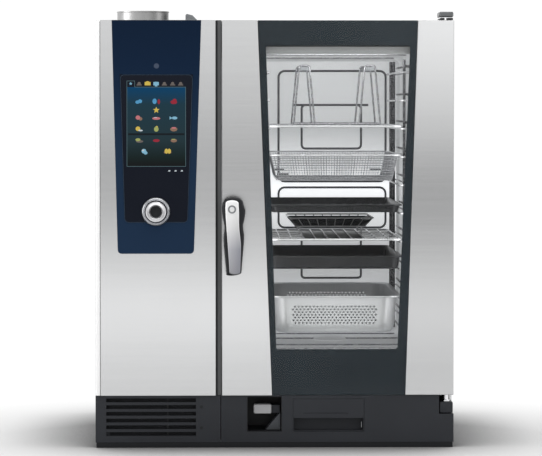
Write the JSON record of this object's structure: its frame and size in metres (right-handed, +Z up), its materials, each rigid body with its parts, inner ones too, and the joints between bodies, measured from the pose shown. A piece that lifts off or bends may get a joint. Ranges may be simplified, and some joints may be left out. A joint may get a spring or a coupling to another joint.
{
  "type": "combi steamer oven",
  "caption": "Table-top combi steamer oven with a control column, a glazed door on the right, hanging racks, containers, and a base with a shower and a drawer.",
  "frame": {"origin": "on the surface the oven stands on, under the middle of its outline in X and Y", "axes": "+X to the right seen from the front, +Y from the front to the back, +Z up"},
  "size_m": [0.85, 0.842, 1.05],
  "materials": {
    "brushed_steel": "satin",
    "polished_wire": "polished",
    "dark_steel": "satin",
    "door_frame_alloy": "satin",
    "cast_alloy": "matte",
    "chrome_trim": "polished",
    "charcoal_plastic": "matte",
    "black_plastic": "matte",
    "navy_fascia": "satin",
    "touch_glass": "gloss",
    "clear_glass": "gloss",
    "light_grey_plastic": "satin",
    "granite_enamel": "satin",
    "silicone": "matte",
    "mineral_wool": "matte",
    "electronics": "matte",
    "lamp_cover": "satin"
  },
  "bodies": {
    "cabinet": {"foot_front_left": "silicone", "foot_front_right": "silicone", "foot_rear_left": "silicone", "foot_rear_right": "silicone", "base_plate": "dark_steel", "side_panel_left": "brushed_steel", "side_panel_right": "brushed_steel", "rear_panel": "brushed_steel", "top_cover": "brushed_steel", "column_front_cover": "brushed_steel", "centre_post": "charcoal_plastic", "front_frame": "brushed_steel", "cavity_shell": "brushed_steel", "drain_strainer": "brushed_steel", "insulation_jacket": "mineral_wool", "air_baffle": "brushed_steel", "fan_motor_upper": "cast_alloy", "fan_motor_lower": "cast_alloy", "ring_heater_upper": "dark_steel", "ring_heater_lower": "dark_steel", "steam_generator": "brushed_steel", "control_electronics": "electronics", "vent_pipe": "brushed_steel", "relief_vent": "cast_alloy", "door_gasket": "silicone", "rack_left": "brushed_steel", "rack_right": "brushed_steel", "wire_shelf_upper": "polished_wire", "wire_shelf_lower": "polished_wire", "poultry_stand": "polished_wire", "fry_basket": "polished_wire", "tray_upper": "granite_enamel", "tray_lower": "granite_enamel", "perforated_container": "brushed_steel", "wire_form": "polished_wire", "hinge_bracket_top": "cast_alloy", "hinge_bracket_bottom": "cast_alloy", "control_fascia": "navy_fascia", "touch_screen": "touch_glass", "dial_bezel": "chrome_trim", "base_grille": "charcoal_plastic", "air_filter": "black_plastic", "base_fascia": "charcoal_plastic", "shower_housing": "black_plastic"},
    "door": {"door_skin_left": "brushed_steel", "door_skin_right": "brushed_steel", "door_glass_outer": "clear_glass", "door_glass_inner": "clear_glass", "door_frame": "door_frame_alloy", "door_lamp": "lamp_cover", "door_drip_tray": "brushed_steel"},
    "handle": {"handle_grip": "brushed_steel", "handle_backing": "black_plastic", "handle_shaft": "dark_steel"},
    "dial_plunger": {"dial_plunger": "dark_steel"},
    "dial_knob": {"dial_knob": "chrome_trim"},
    "fan_upper": {"fan_upper": "brushed_steel"},
    "fan_lower": {"fan_lower": "brushed_steel"},
    "care_drawer": {"care_drawer": "charcoal_plastic"},
    "hand_shower": {"hand_shower": "light_grey_plastic"}
  },
  "joints": [
    {"name": "door_hinge", "type": "hinge", "parent": "cabinet", "child": "door", "pos_m": [0.4075, -0.329, 0.124], "axis": [0, 0, 1], "range_deg": [0, 180]},
    {"name": "handle_turn", "type": "hinge", "parent": "door", "child": "handle", "pos_m": [-0.1016, -0.354, 0.5683], "axis": [0, 1, 0], "range_deg": [-60, 60]},
    {"name": "dial_push", "type": "slide", "parent": "cabinet", "child": "dial_plunger", "axis": [0, 1, 0], "range_m": [0, 0.002], "stiffness_N_per_m": 400},
    {"name": "dial_turn", "type": "hinge", "parent": "dial_plunger", "child": "dial_knob", "pos_m": [-0.2811, -0.36, 0.5608], "axis": [0, 1, 0], "continuous": true},
    {"name": "fan_upper_spin", "type": "hinge", "parent": "cabinet", "child": "fan_upper", "pos_m": [-0.09, 0.01, 0.757], "axis": [1, 0, 0], "continuous": true},
    {"name": "fan_lower_spin", "type": "hinge", "parent": "cabinet", "child": "fan_lower", "pos_m": [-0.09, 0.01, 0.4], "axis": [1, 0, 0], "continuous": true},
    {"name": "care_drawer_slide", "type": "slide", "parent": "cabinet", "child": "care_drawer", "axis": [0, -1, 0], "range_m": [0, 0.12]},
    {"name": "hand_shower_pull", "type": "slide", "parent": "cabinet", "child": "hand_shower", "axis": [0, -1, 0], "range_m": [0, 0.06], "stiffness_N_per_m": 40}
  ]
}
